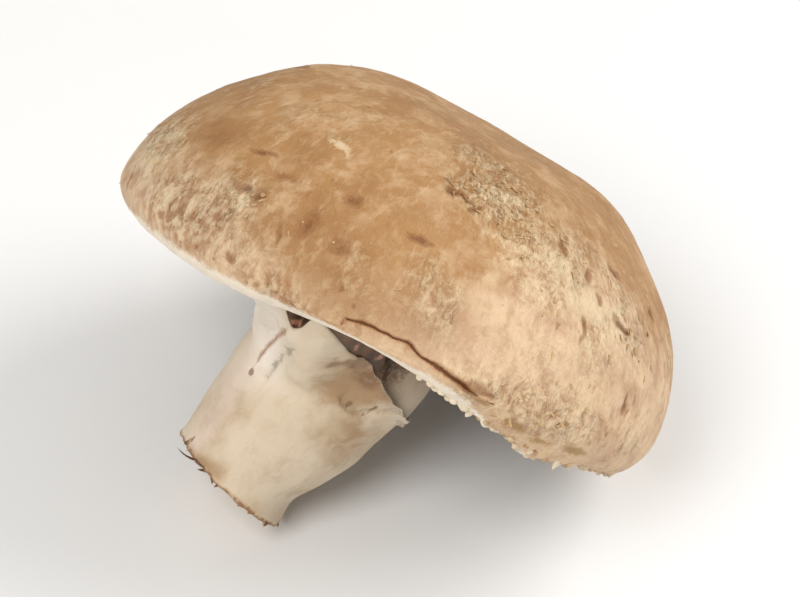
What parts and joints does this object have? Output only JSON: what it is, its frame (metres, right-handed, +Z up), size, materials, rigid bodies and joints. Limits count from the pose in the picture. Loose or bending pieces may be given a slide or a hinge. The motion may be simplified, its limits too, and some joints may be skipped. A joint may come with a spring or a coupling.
{
  "type": "portobello mushroom",
  "caption": "Whole fresh portobello mushroom lying on its side: domed brown cap with rolled-in margin, dark gills underneath and a cut cream stem with a torn veil.",
  "frame": {"origin": "on the surface the mushroom lies on, under the middle of its bounding box", "axes": "+Z up; the stem points to -X, -Y and down, the cap opens that way and its crown leans to +X and +Y"},
  "size_m": [0.0934, 0.0928, 0.0778],
  "materials": {
    "cap_skin": "matt tan-brown mushroom skin, flaky and paler towards the margin",
    "gill_flesh": "matt dark chocolate brown gills",
    "stem_flesh": "matt cream mushroom flesh, finely fibrous along the stem"
  },
  "bodies": {
    "root": {"cap": "cap_skin", "gills": "gill_flesh", "stem": "stem_flesh"}
  },
  "joints": []
}
